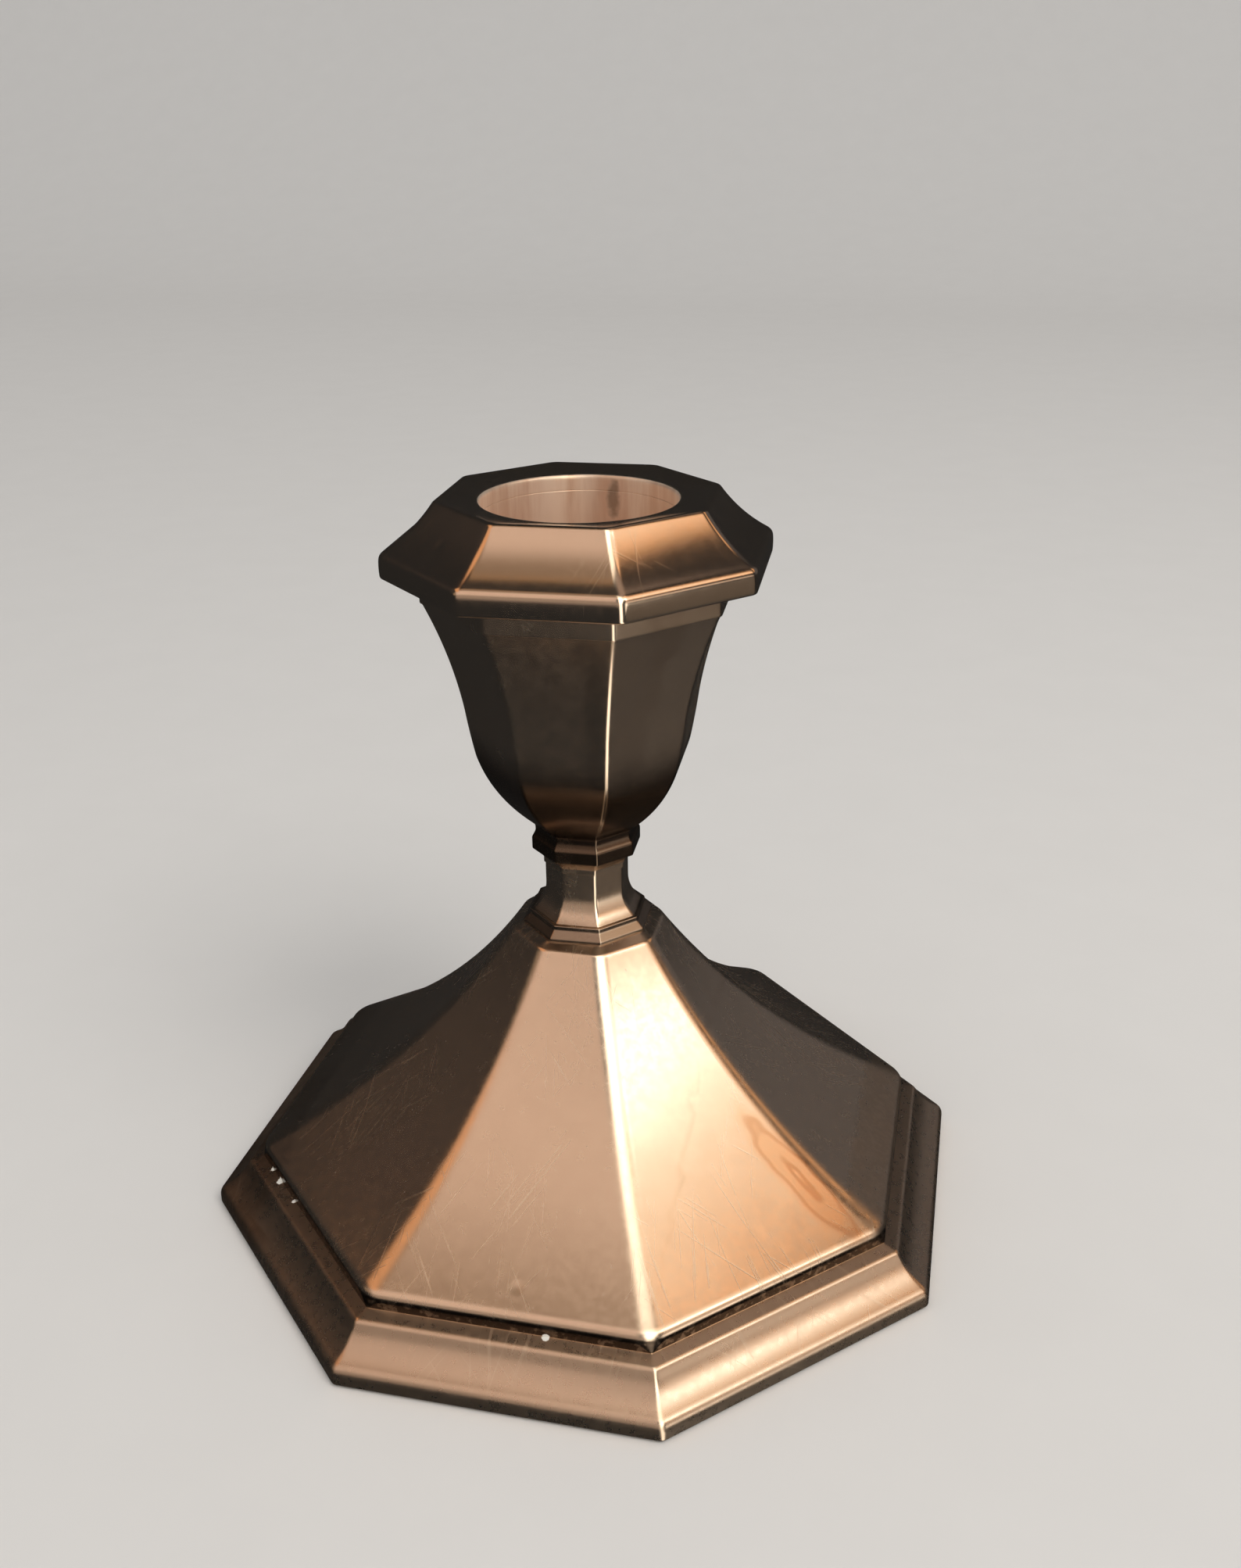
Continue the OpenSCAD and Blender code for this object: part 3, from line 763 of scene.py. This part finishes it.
# %% Sweep the stem's pieces
neck_w = 4.9
z_collar, z_neck, z_cup = high("collar_ring"), high("neck"), high("cup_foot")
band = bead - 0.85
collar = sweep(
    "collar_metal",
    moulding(
        [
            corner(bead, shoulder_z, 0.1, plan=0.35, seam=True),
            corner(bead, shoulder_z + 0.4, 0.12, plan=0.35),
            corner(band, shoulder_z + 1.25, 0.12, plan=0.35),
            corner(band, z_collar, 0.16, plan=0.35),
            corner(neck_hole, z_collar, 0.03, plan=neck_hole),
            corner(neck_hole, shoulder_z, 0.03, plan=neck_hole),
        ],
        step=0.15,
    ),
    stem_metal,
    STEM_TURN,
    ridge_reach=0.35,
)
neck = sweep(
    "neck_metal",
    moulding(
        [
            corner(neck_foot, z_collar, 0.12, sag=-0.4, plan=0.7, seam=True),
            corner(neck_w, z_collar + 3.5, 0.3, plan=0.8),
            corner(neck_w, z_neck, 0.05, plan=0.8, seam=True),
            corner(neck_hole, z_neck, 0.03, plan=neck_hole),
            corner(neck_hole, z_collar, 0.03, plan=neck_hole),
        ],
        step=0.3,
    ),
    stem_metal,
    STEM_TURN,
    ridge_reach=0.4,
)
step_out = neck_w + 0.15
cup_seat = 6.0
knop_piece = sweep(
    "cup_foot_metal",
    moulding(
        [
            corner(step_out, z_neck, 0.08, plan=0.45, seam=True),
            corner(step_out, z_neck + 0.67, 0.1, sag=-0.2, plan=0.45),
            corner(knop, z_neck + 2.0, 0.15, plan=0.4),
            corner(knop, z_neck + 3.6, 0.18, sag=-0.25, plan=0.4),
            corner(cup_seat, z_cup, 0.06, plan=0.45, seam=True),
            corner(neck_hole, z_cup, 0.03, plan=neck_hole),
            corner(neck_hole, z_neck, 0.03, plan=neck_hole),
        ],
        step=0.25,
    ),
    stem_metal,
    STEM_TURN,
    ridge_reach=0.4,
)
z_lip, z_lip_top = high("cup_shell"), high("cup_lip")
belly, z_belly = liner + 0.3, z_cup + 12.8
cup = sweep(
    "cup_metal",
    moulding(
        [
            corner(cup_seat, z_cup, 0.06, sag=1.4, plan=0.8, seam=True),
            corner(belly, z_belly, 3.0, sag=-0.65, plan=1.1),
            corner(cup_top, z_lip, 0.06, plan=1.0, seam=True),
            corner(cup_top - sheet, z_lip, 0.05, sag=0.65),
            corner(belly - sheet, z_belly, 2.5, sag=-1.4),
            corner(cup_seat - sheet, z_cup, 0.05),
        ],
        step=0.5,
    ),
    stem_metal,
    STEM_TURN,
    flat_steps=12,
    ridge_reach=0.7,
)
lip_band = sweep(
    "cup_lip_metal",
    moulding(
        [
            corner(lip, z_lip, 0.15, plan=1.0),
            corner(lip, z_lip_top, 0.15, plan=1.0, seam=True),
            corner(lip - sheet, z_lip_top, 0.05),
            corner(lip - sheet, z_lip, 0.05),
        ],
        step=0.3,
    ),
    stem_metal,
    STEM_TURN,
    ridge_reach=0.6,
)

# %% [markdown]
# ## The socket inside the cup
# The nozzle's tube drops into a drawn tube with a floor, which hangs from an octagonal
# flange inside the lip. It shows only when the nozzle is lifted out. The section starts and
# ends on the axis, where the sweep closes to a single point, and its plan changes from the
# octagonal flange to the round tube.

# %% Sweep the socket
flange = lip - sheet
liner_low = low("socket_liner")
socket = sweep(
    "socket_metal",
    moulding(
        [
            corner(0, liner_low, 0, plan=CIRCLE),
            corner(liner, liner_low, 0.3, plan=CIRCLE),
            corner(liner, z_lip_top - liner_sheet, 0.05, plan=liner),
            corner(flange, z_lip_top - liner_sheet, 0.05),
            corner(flange, z_lip_top, 0.05, plan=0.3, seam=True),
            corner(liner - liner_sheet, z_lip_top, 0.2, plan=liner - liner_sheet),
            corner(liner - liner_sheet, liner_low + liner_sheet, 0.3, plan=CIRCLE),
            corner(0, liner_low + liner_sheet, 0, plan=CIRCLE),
        ],
        step=0.6,
        closed=False,
    ),
    tube_metal,
    STEM_TURN,
    ridge_steps=14,
    flat_steps=6,
)

# %% [markdown]
# ## The nozzle
# The loose nozzle is what the buyer changes and cleans: an octagonal pan that catches the
# wax, with a dished ring round the hole, and a drawn tube that holds the candle. The pan's
# section starts at the bottom of the upright rim, goes up over the sloping top, dips into
# the ring as the plan turns round, rolls over the mouth and ends at the seam with the tube.

# %% Sweep the nozzle's four pieces
z_rim, z_top = low("nozzle_pan"), high("nozzle_pan")
z_mouth = z_top - 0.65
z_rim_top = z_top - 5.8
z_seam = high("nozzle_tube")
ring = hole + 4.0
mouth = hole + sheet
pan = sweep(
    "nozzle_pan_metal",
    moulding(
        [
            corner(rim, z_rim, 0.35, sag=0.1, plan=1.3),
            corner(rim, z_rim_top, 0.6, sag=-0.5, plan=1.6),
            corner(ring, z_top, 0.45, sag=-0.12, plan=1.6),
            corner(hole, z_mouth, 0.5, plan=hole),
            corner(hole, z_seam, 0.08, plan=CIRCLE, seam=True),
            corner(mouth, z_seam, 0.1, plan=CIRCLE),
            corner(mouth, z_mouth - sheet, 0.2, plan=mouth),
            corner(ring + 0.4, z_mouth - sheet, 0.2, plan=0.9),
            corner(rim - sheet, z_rim_top - 0.4, 0.3, plan=0.5),
            corner(rim - sheet, z_rim, 0.15, plan=0.5),
        ],
        step=0.35,
    ),
    nozzle_metal,
    STEM_TURN,
    ridge_steps=12,
    flat_steps=12,
    ridge_reach=0.8,
)
plate = sweep(
    "nozzle_plate_metal",
    moulding(
        [
            corner(tube, z_rim, 0.08, plan=CIRCLE, seam=True),
            corner(rim - sheet, z_rim, 0.08, plan=0.5, seam=True),
            corner(rim - sheet, z_rim + sheet, 0.08, plan=0.5),
            corner(tube, z_rim + sheet, 0.08, plan=CIRCLE),
        ],
        step=0.5,
    ),
    tube_metal,
    STEM_TURN,
    ridge_steps=12,
    flat_steps=8,
)
z_candle = low("nozzle_tube")
candle_tube = sweep(
    "nozzle_tube_metal",
    moulding(
        [
            corner(tube, z_candle, 0.05, plan=CIRCLE, seam=True),
            corner(tube, z_seam, 0.08, plan=CIRCLE),
            corner(hole, z_seam, 0.08, plan=CIRCLE, seam=True),
            corner(hole, z_candle, 0.05, plan=CIRCLE, seam=True),
        ],
        step=0.5,
    ),
    tube_metal,
    STEM_TURN,
    ridge_steps=14,
    flat_steps=1,
)
tube_floor = sweep(
    "nozzle_floor_metal",
    moulding(
        [
            corner(0, low("nozzle_floor"), 0, plan=CIRCLE),
            corner(tube, low("nozzle_floor"), 0.25, plan=CIRCLE),
            corner(tube, z_candle, 0.05, plan=CIRCLE, seam=True),
            corner(hole, z_candle, 0.05, plan=CIRCLE, seam=True),
            corner(0, z_candle, 0, plan=CIRCLE),
        ],
        step=0.5,
        closed=False,
    ),
    tube_metal,
    STEM_TURN,
    ridge_steps=14,
    flat_steps=1,
)

# %% [markdown]
# ## The felt under the foot
# An octagon of green baize keeps the foot from scratching the table. Felt has no weave: it is
# a mat of short fibres, so its finish is a fine tangle of noise with a soft sheen, and its
# cut edge is rounded by wear.


# %% Felt and the finishes of the hidden parts
def felt_finish():
    material, tree, shader, place = start_material("green_felt")
    fibre = noise(tree, place, 2600.0, detail=6.0, rough=0.8, warp=2.5)
    clump = noise(tree, place, 260.0, detail=4.0, rough=0.7)
    worn = ramp(tree, noise(tree, place, 40.0, detail=4.0), 0.45, 0.7)
    colour = mix(tree, fibre, (0.012, 0.045, 0.022, 1), (0.05, 0.15, 0.08, 1))
    colour = mix(tree, times(tree, worn, 0.35), colour, (0.09, 0.12, 0.07, 1))
    height = plus(tree, fibre, times(tree, clump, 1.5))
    join(tree, shader, colour, ramp(tree, fibre, 0.2, 0.8, 0.85, 1.0), height, 0.0003, 0.8)
    shader.inputs["Sheen Weight"].default_value = 0.5
    shader.inputs["Sheen Roughness"].default_value = 0.6
    return material


def plaster_finish():
    material, tree, shader, place = start_material("pitch_and_plaster")
    grain = noise(tree, place, 900.0, detail=6.0, rough=0.7)
    lumps = noise(tree, place, 90.0, detail=4.0)
    colour = mix(tree, grain, (0.10, 0.075, 0.055, 1), (0.34, 0.28, 0.22, 1))
    colour = mix(tree, ramp(tree, lumps, 0.45, 0.65), colour, (0.16, 0.11, 0.08, 1))
    rough = ramp(tree, grain, 0.2, 0.8, 0.7, 0.95)
    join(tree, shader, colour, rough, plus(tree, grain, lumps), 0.0004, 0.7)
    return material


def steel_finish():
    material, tree, shader, place = start_material("plain_steel")
    lines = noise(tree, place, 1.0, detail=3.0, stretch_by=(150, 3000, 150))
    spots = ramp(tree, noise(tree, place, 240.0, detail=5.0, rough=0.7), 0.56, 0.70)
    colour = mix(tree, lines, (0.42, 0.42, 0.43, 1), (0.60, 0.60, 0.60, 1))
    colour = mix(tree, times(tree, spots, 0.7), colour, (0.16, 0.09, 0.05, 1))
    rough = ramp(tree, lines, 0.3, 0.7, 0.28, 0.42)
    rough = plus(tree, rough, times(tree, spots, 0.35))
    plug(tree, rest_of(tree, spots), shader.inputs["Metallic"])
    join(tree, shader, colour, rough, plus(tree, lines, spots), 0.00005, 0.4)
    return material


green_felt = felt_finish()
felt_half = reach("felt_pad")
felt_top = high("felt_pad")
felt = sweep(
    "felt_cloth",
    moulding(
        [
            corner(0, 0, 0, plan=0.8),
            corner(felt_half, 0, 0.25, plan=0.8),
            corner(felt_half, felt_top, 0.15, plan=0.8),
            corner(0, felt_top, 0, plan=0.8),
        ],
        step=0.9,
        closed=False,
    ),
    green_felt,
    flat_steps=12,
)
steel = steel_finish()
hidden = {"base_plate": steel, "core_rod": steel, "plaster_filling": plaster_finish()}
for name, finish in hidden.items():
    mesh = frame["nodes"][name].data
    mesh.materials.clear()
    mesh.materials.append(finish)
print("felt", len(felt.data.polygons), "faces;", "finishes given to", ", ".join(hidden))

# %% [markdown]
# ## Which piece stands for which part
# Each fine mesh rides on a body of the frame and hides the plain node that it stands for.
# The table also names a material slot for each piece.

# %% Tie the pieces to the frame
STANDS_FOR = [
    (border, "candlestick", "foot_border", "warm_metal"),
    (slopes, "candlestick", "foot_shell", "warm_metal"),
    (collar, "candlestick", "collar_ring", "warm_metal"),
    (neck, "candlestick", "neck", "warm_metal"),
    (knop_piece, "candlestick", "cup_foot", "warm_metal"),
    (cup, "candlestick", "cup_shell", "warm_metal"),
    (lip_band, "candlestick", "cup_lip", "warm_metal"),
    (socket, "candlestick", "socket_liner", "tube_metal"),
    (felt, "candlestick", "felt_pad", "felt"),
    (pan, "nozzle", "nozzle_pan", "warm_metal"),
    (plate, "nozzle", "nozzle_plate", "tube_metal"),
    (candle_tube, "nozzle", "nozzle_tube", "tube_metal"),
    (tube_floor, "nozzle", "nozzle_floor", "tube_metal"),
]
for piece, body, node, slot in STANDS_FOR:
    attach(piece, body)
    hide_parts(node)
print("pieces tied:", len(STANDS_FOR))

# %% [markdown]
# ## Floor, lights and camera
# A mirror shows the room, so the room is what has to be built. One soft lamp and the pale
# room light the floor. The metal mirrors something else: a tent of soft patches, made the
# way a studio sets cards and cloths round silver. Overhead and in front it is warm and
# light, to the right stands a bright window with a tall narrow strip beside it, and below
# and behind lies dark cloth. The tent is seen by reflections only, and the floor is left out
# of them, so each can be set without spoiling the other.


# %% Pale floor that sweeps up behind
def studio_floor():
    radius, width, front, back, tall = 0.5, 3.0, -2.2, 0.9, 2.2
    profile = [(front, 0.0), (0.0, 0.0), (back, 0.0)]
    for k in range(1, 17):
        a = 0.5 * math.pi * k / 16
        profile.append((back + radius * math.sin(a), radius * (1 - math.cos(a))))
    profile.append((back + radius, tall))
    verts = [(x, y, z) for x in (-width, width) for y, z in profile]
    n = len(profile)
    mesh = bpy.data.meshes.new("studio_floor")
    mesh.from_pydata(verts, [], [(i, i + n, i + n + 1, i + 1) for i in range(n - 1)])
    mesh.polygons.foreach_set("use_smooth", [True] * len(mesh.polygons))
    floor = bpy.data.objects.new("studio_floor", mesh)
    bpy.context.scene.collection.objects.link(floor)
    material, tree, shader, place = start_material("pale_paper")
    fleck = noise(tree, place, 60.0, detail=3.0)
    plug(tree, mix(tree, fleck, (0.76, 0.75, 0.735, 1), (0.79, 0.78, 0.765, 1)), shader.inputs["Base Color"])
    shader.inputs["Roughness"].default_value = 0.9
    shader.inputs["Specular IOR Level"].default_value = 0.1
    mesh.materials.append(material)
    floor.visible_glossy = False
    return floor


studio_floor()


# %% A soft lamp for the floor, and the room
def soft_lamp():
    data = bpy.data.lights.new("soft_lamp", "AREA")
    data.shape = "DISK"
    data.size = 0.5
    data.energy = 3.2
    data.color = (1.0, 0.95, 0.89)
    lamp = bpy.data.objects.new("soft_lamp", data)
    lamp.location = Vector((0.45, -0.35, 0.75))
    lamp.rotation_euler = (lamp.location - Vector((0, 0, 0.03))).to_track_quat("Z", "Y").to_euler()
    lamp.visible_glossy = False
    bpy.context.scene.collection.objects.link(lamp)
    world = bpy.data.worlds.new("room")
    world.use_nodes = True
    world.node_tree.nodes["Background"].inputs["Color"].default_value = (0.80, 0.79, 0.78, 1)
    world.node_tree.nodes["Background"].inputs["Strength"].default_value = 0.78
    world.cycles_visibility.glossy = False
    bpy.context.scene.world = world


soft_lamp()

# %% [markdown]
# ## The tent of soft patches
# Two angles say where a patch stands, as seen from the candlestick: how far it is to the
# right (minus for left), and how far it has climbed from the front horizon, over the top
# (90) and down behind (180). Below the front horizon the climb is negative. Each patch has
# soft edges and is painted over the ones before it, so a dark patch can cut a light one.

# %% Paint the tent
DARK_CLOTH = (0.019, 0.0185, 0.018)
PATCHES = {
    # name: (right from, right to, climb from, climb to, edge), colour
    "behind_right": ((22, 66, 138, 192, 8), (0.090, 0.082, 0.080)),
    "left_warm": ((-80, -52, 92, 126, 8), (0.050, 0.038, 0.032)),
    "front_edge": ((-48, 20, 40, 89, 0.8), (0.46, 0.25, 0.11)),
    "front_high": ((-48, 20, 40, 87, 0.8), (0.24, 0.16, 0.108)),
    "front_low": ((-48, 20, -5, 40, 7), (0.30, 0.22, 0.17)),
    "front": ((-48, 20, 25, 71, 9), (0.64, 0.455, 0.355)),
    "over": ((2, 19, 92, 126, 5), (0.30, 0.21, 0.16)),
    "right_edge": ((22, 66, 56, 104, 1), (0.62, 0.30, 0.12)),
    "right": ((22, 66, 56, 101, 1.5), (1.12, 0.62, 0.34)),
    "right_pale": ((26, 60, 62, 93, 6), (0.98, 0.80, 0.60)),
    "ridge_glow": ((6, 38, 28, 66, 6), (2.6, 2.3, 1.9)),
    "window": ((38, 57, 66, 81, 1.5), (2.9, 2.7, 2.4)),
    "right_side": ((60, 90, 14, 60, 5), (0.66, 0.48, 0.36)),
    "right_low": ((60, 77, -36, 14, 3), (1.3, 1.1, 0.9)),
    "right_under": ((28, 62, -112, -70, 6), (0.060, 0.052, 0.046)),
    "right_floor": ((62, 90, -110, -44, 4), (0.10, 0.078, 0.060)),
    "left_amber": ((-47, -29, 62, 104, 4), (0.70, 0.34, 0.16)),
    "right_amber": ((30, 58, 122, 134, 3), (0.80, 0.42, 0.20)),
    "left_fill": ((-70, -50, 20, 60, 5), (0.26, 0.18, 0.12)),
    "shade": ((-4, 11, 20, 56, 1.5), (0.055, 0.050, 0.050)),
}
# The strip leans over to the left above its bend.
STRIP = {"right": 27.0, "half_width": 10.5, "lean": 0.40, "bend": 38.0, "foot": -72.0, "top": 88.0}
STRIP_TONE = (3.2, 2.8, 2.3, 1)


def between(tree, value, start, end, edge):
    rise = ramp(tree, value, start - edge, start + edge)
    return times(tree, rise, ramp(tree, value, end + edge, end - edge))


def strip_share(tree, right, climb):
    """The tall strip: strongest in its middle, and fading towards its top and its foot."""
    above = calc(tree, "MAXIMUM", calc(tree, "SUBTRACT", climb, STRIP["bend"]), 0.0)
    leaned = plus(tree, right, times(tree, above, STRIP["lean"]))
    left_side = STRIP["right"] - STRIP["half_width"]
    right_side = STRIP["right"] + STRIP["half_width"]
    share = between(tree, leaned, left_side, right_side, 2.5)
    share = times(tree, share, between(tree, climb, STRIP["foot"], STRIP["top"], 6.0))
    fade = ramp(tree, climb, 46.0, 84.0, 1.0, 0.45)
    fade = times(tree, fade, ramp(tree, climb, 0.0, 32.0, 0.55, 1.0))
    return times(tree, share, fade)


def tent():
    mesh = bpy.data.meshes.new("light_tent")
    work = bmesh.new()
    bmesh.ops.create_uvsphere(work, u_segments=64, v_segments=32, radius=6.0)
    work.to_mesh(mesh)
    work.free()
    mesh.polygons.foreach_set("use_smooth", [True] * len(mesh.polygons))
    dome = bpy.data.objects.new("light_tent", mesh)
    bpy.context.scene.collection.objects.link(dome)
    material = bpy.data.materials.new("tent_cloth")
    material.use_nodes = True
    tree = material.node_tree
    tree.nodes.clear()
    place = add(tree, "ShaderNodeTexCoord").outputs["Object"]
    unit = vector(tree, "NORMALIZE", place)
    part = add(tree, "ShaderNodeSeparateXYZ", {0: unit}).outputs
    degrees = 180 / math.pi
    right = times(tree, calc(tree, "ARCSINE", part[0]), degrees)
    climb = calc(tree, "ARCTAN2", part[2], times(tree, part[1], -1.0))
    climb = times(tree, climb, degrees)
    colour = (*DARK_CLOTH, 1)
    for (r0, r1, c0, c1, edge), paint in PATCHES.values():
        share = times(tree, between(tree, right, r0, r1, edge), between(tree, climb, c0, c1, edge))
        colour = mix(tree, share, colour, (*paint, 1))
    colour = mix(tree, strip_share(tree, right, climb), colour, STRIP_TONE)
    glow = add(tree, "ShaderNodeEmission", {"Color": colour, "Strength": 1.0})
    out = add(tree, "ShaderNodeOutputMaterial")
    tree.links.new(glow.outputs[0], out.inputs[0])
    material.cycles.emission_sampling = "NONE"
    mesh.materials.append(material)
    for kind in ("camera", "diffuse", "shadow", "transmission", "volume_scatter"):
        setattr(dome, "visible_" + kind, False)
    print("the tent has", len(PATCHES) + 1, "patches")


tent()
bpy.context.scene.view_settings.view_transform = "Standard"

# %% Camera
EYE = Vector((44.1, -168.6, 134.2)) * mm
AIM = Vector((4.2, 1.0, 56.6)) * mm
ROLL = math.radians(-0.68)
camera_data = bpy.data.cameras.new("view")
camera_data.sensor_width = 36.0
camera_data.lens = 35.67
camera_data.clip_start = 0.01
camera = bpy.data.objects.new("view", camera_data)
camera.location = EYE
look = (AIM - EYE).to_track_quat("-Z", "Y").to_matrix() @ Euler((0, 0, ROLL)).to_matrix()
camera.rotation_euler = look.to_euler()
bpy.context.scene.collection.objects.link(camera)
bpy.context.scene.camera = camera
print("camera is", round((AIM - EYE).length, 3), "m from the candlestick")
